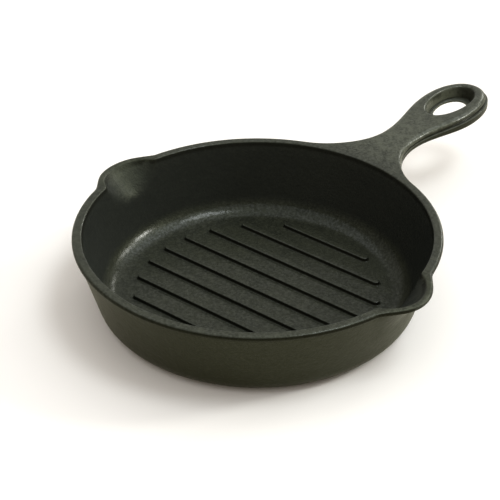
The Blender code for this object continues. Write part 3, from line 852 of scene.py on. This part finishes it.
floor_radius = corner_centre_radius(inner_wall_radius(FLOOR_THICKNESS), FLOOR_FILLET_RADIUS)
rule = Rule("floor_ribs", {
    "Count": ("NodeSocketInt", RIB_COUNT),
    "Pitch": ("NodeSocketFloat", 2 * (floor_radius - RIB_SIDE_MARGIN) / (RIB_COUNT - 1)),
    "Reach": ("NodeSocketFloat", floor_radius - RIB_END_MARGIN),
    "Shortest half length": ("NodeSocketFloat", RIB_SHORTEST / 2),
    "Foot half width": ("NodeSocketFloat", RIB_FOOT_HALF_WIDTH),
    "Floor height": ("NodeSocketFloat", FLOOR_THICKNESS),
    "Steps round": ("NodeSocketInt", RIB_STEPS_ROUND),
    "Material": ("NodeSocketMaterial", IRON),
})
skin, row, step, place = rule.skin()
half_step_on = rule.math("ADD", step, 0.5)
turn = rule.math("MULTIPLY", math.tau, rule.math("DIVIDE", half_step_on, rule.given["Steps round"]))
end = rule.math("SIGN", rule.math("SINE", turn))
bar = rule.moved(skin, "Position", rule.math("MULTIPLY", place["X"], rule.math("COSINE", turn)),
                 rule.math("MULTIPLY", place["X"], rule.math("SINE", turn)), place["Z"])
bar = rule.stored(bar, "end", end, "POINT")
# One bar stands at each point of a line across the floor.
half_span = rule.math("MULTIPLY", rule.given["Pitch"],
                      rule.math("DIVIDE", rule.math("SUBTRACT", rule.given["Count"], 1.0), 2.0))
first_x = rule.math("MULTIPLY", half_span, -1.0)
first = rule.node("ShaderNodeCombineXYZ", X=first_x, Z=rule.given["Floor height"])
pitch = rule.node("ShaderNodeCombineXYZ", X=rule.given["Pitch"])
line = rule.node("GeometryNodeMeshLine", {"mode": "OFFSET"}, Count=rule.given["Count"],
                 Start_Location=first.outputs["Vector"], Offset=pitch.outputs["Vector"]).outputs["Mesh"]
bars = rule.node("GeometryNodeInstanceOnPoints", Points=line, Instance=bar).outputs["Instances"]
position = rule.node("GeometryNodeInputPosition").outputs["Position"]
offset = rule.node("ShaderNodeSeparateXYZ", Vector=position).outputs["X"]
bars = rule.stored(bars, "offset", offset, "INSTANCE")
bars = rule.node("GeometryNodeRealizeInstances", Geometry=bars).outputs["Geometry"]
# The bars' two ends are drawn apart until they lie on one circle inside the floor's edge.
reach, offset = rule.given["Reach"], rule.attribute("offset")
chord = rule.math("SQRT", rule.math("SUBTRACT", rule.math("MULTIPLY", reach, reach),
                                    rule.math("POWER", rule.math("ABSOLUTE", offset), 2.0)))
half_length = rule.math("SUBTRACT", rule.math("MAXIMUM", chord, rule.given["Shortest half length"]),
                        rule.given["Foot half width"])
rule.finish(rule.moved(bars, "Offset", 0.0, rule.math("MULTIPLY", rule.attribute("end"), half_length), 0.0))
ribs_mesh = rule.applied_to("grill_ribs", rib_section())
finished_piece("grill_ribs", ribs_mesh, [f"rib_{i}" for i in range(1, RIB_COUNT + 1)], RIB_SIDES_SHADED)


# The table and the light
# A pale seamless table top in soft studio light: broad cool light overhead, lower lamps from
# the right and behind that draw the line in the bowl's corner, and a bright wall behind.
LAMP_DISTANCE = 1.5
TABLE_HALF_SIDE = 3.0
TABLE_MOTTLE = ((0.927, 0.909, 0.884, 1), (0.937, 0.919, 0.894, 1))
TABLE_BOUNCE = (0.80, 0.785, 0.64, 1)


def soft_light(name, towards, spread, strength, colour):
    """A far-off lamp: where it stands, how wide it looks, and how strongly it lights."""
    data = bpy.data.lights.new(name, "SUN")
    data.angle = math.radians(spread)
    data.energy = strength
    data.color = colour
    lamp = bpy.data.objects.new(name, data)
    bpy.context.scene.collection.objects.link(lamp)
    lamp.location = Vector(towards).normalized() * LAMP_DISTANCE
    lamp.rotation_euler = Vector(towards).to_track_quat("Z", "Y").to_euler()


def pale_table():
    material = bpy.data.materials.new("pale_table")
    material.use_nodes = True
    nodes, links = material.node_tree.nodes, material.node_tree.links
    shader = nodes["Principled BSDF"]
    shader.inputs["Roughness"].default_value = 0.9
    shader.inputs["Specular IOR Level"].default_value = 0.1
    mottle = nodes.new("ShaderNodeTexNoise")
    mottle.inputs["Scale"].default_value = 6.0
    links.new(nodes.new("ShaderNodeTexCoord").outputs["Object"], mottle.inputs["Vector"])
    blend = nodes.new("ShaderNodeMix")
    blend.data_type = "RGBA"
    blend.inputs[6].default_value, blend.inputs[7].default_value = TABLE_MOTTLE
    links.new(mottle.outputs["Fac"], blend.inputs["Factor"])
    # The table is white to the camera and throws a warmer, dimmer light on the iron.
    bounce = nodes.new("ShaderNodeMix")
    bounce.data_type = "RGBA"
    bounce.inputs[6].default_value = TABLE_BOUNCE
    links.new(blend.outputs[2], bounce.inputs[7])
    links.new(nodes.new("ShaderNodeLightPath").outputs["Is Camera Ray"], bounce.inputs["Factor"])
    links.new(bounce.outputs[2], shader.inputs["Base Color"])
    mesh = bpy.data.meshes.new("table_top")
    corners = [(x * TABLE_HALF_SIDE, y * TABLE_HALF_SIDE, 0) for x, y in ((-1, -1), (1, -1), (1, 1), (-1, 1))]
    mesh.from_pydata(corners, [], [(0, 1, 2, 3)])
    mesh.materials.append(material)
    table = bpy.data.objects.new("table_top", mesh)
    bpy.context.scene.collection.objects.link(table)


pale_table()
COOL = (0.86, 0.94, 1.03)
NEARLY_WHITE = (0.90, 0.955, 0.98)
WARM = (1.0, 1.0, 0.94)
WARMEST = (1.0, 1.0, 0.92)
soft_light("overhead_light", (0.0, 0.0, 1.0), 90.0, 1.0, COOL)
soft_light("high_light", (0.15, -0.36, 0.92), 20.0, 0.80, NEARLY_WHITE)
soft_light("main_light", (0.60, -0.24, 0.74), 40.0, 0.45, COOL)
soft_light("right_light", (0.649, -0.56, 0.51), 10.0, 0.92, WARM)
soft_light("corner_light", (0.81, -0.32, 0.45), 12.0, 0.34, WARM)
soft_light("low_light", (0.93, 0.12, 0.33), 12.0, 0.28, WARMEST)

world = bpy.data.worlds.new("studio")
world.use_nodes = True
nodes, links = world.node_tree.nodes, world.node_tree.links


def studio_sky(sky, colour, strength):
    sky.inputs["Color"].default_value = colour
    sky.inputs["Strength"].default_value = strength
    return sky.outputs["Background"]


# What glossy rays meet in front, what the camera sees, and what lights the matt surfaces.
surround = studio_sky(nodes["Background"], (1.0, 0.98, 0.95, 1), 0.12)
white = studio_sky(nodes.new("ShaderNodeBackground"), (1.0, 1.0, 0.99, 1), 1.0)
fill = studio_sky(nodes.new("ShaderNodeBackground"), (1.0, 0.885, 0.75, 1), 0.60)


def world_math(operation, first, second):
    made = nodes.new("ShaderNodeMath")
    made.operation = operation
    made.use_clamp = True
    for socket, value in zip(made.inputs, (first, second)):
        if isinstance(value, bpy.types.NodeSocket):
            links.new(value, socket)
        else:
            socket.default_value = value
    return made.outputs[0]


# The wall behind is bright and the room in front is dim, as the iron's gloss shows them.
WALL_BEHIND = (0.776, 0.631, 0.0)
WALL_IN_GLOSS = 0.45
behind = nodes.new("ShaderNodeVectorMath")
behind.operation = "DOT_PRODUCT"
behind.inputs[1].default_value = WALL_BEHIND
links.new(nodes.new("ShaderNodeTexCoord").outputs["Generated"], behind.inputs[0])
seen = nodes.new("ShaderNodeLightPath").outputs
wall_share = world_math("MULTIPLY", behind.outputs["Value"], WALL_IN_GLOSS)
gloss = world_math("MULTIPLY", seen["Is Glossy Ray"], wall_share)
share = world_math("ADD", world_math("ADD", seen["Is Camera Ray"], seen["Is Transmission Ray"]), gloss)


def world_mix(share, first, second):
    made = nodes.new("ShaderNodeMixShader")
    links.new(share, made.inputs["Fac"])
    links.new(first, made.inputs[1])
    links.new(second, made.inputs[2])
    return made.outputs["Shader"]


room = world_mix(seen["Is Diffuse Ray"], surround, fill)
links.new(world_mix(share, room, white), nodes["World Output"].inputs["Surface"])
bpy.context.scene.world = world


# The camera
# It stands at the photograph's place: a long lens from the front left, 33 degrees above.
CAMERA_AZIMUTH = math.radians(219.139)
CAMERA_ELEVATION = math.radians(33.234)
CAMERA_DISTANCE = 0.9419
CAMERA_TARGET = Vector((0.00825, 0.01203, 0.02337))
CAMERA_SENSOR_MM = 36.0
CAMERA_LENS_MM = 120.59
back = Vector((math.cos(CAMERA_ELEVATION) * math.cos(CAMERA_AZIMUTH),
               math.cos(CAMERA_ELEVATION) * math.sin(CAMERA_AZIMUTH), math.sin(CAMERA_ELEVATION)))
camera_data = bpy.data.cameras.new("camera")
camera_data.sensor_width = CAMERA_SENSOR_MM
camera_data.lens = CAMERA_LENS_MM
camera = bpy.data.objects.new("camera", camera_data)
bpy.context.scene.collection.objects.link(camera)
camera.location = CAMERA_TARGET + back * CAMERA_DISTANCE
camera.rotation_euler = back.to_track_quat("Z", "Y").to_euler()
bpy.context.scene.camera = camera
bpy.context.scene.view_settings.view_transform = "Standard"
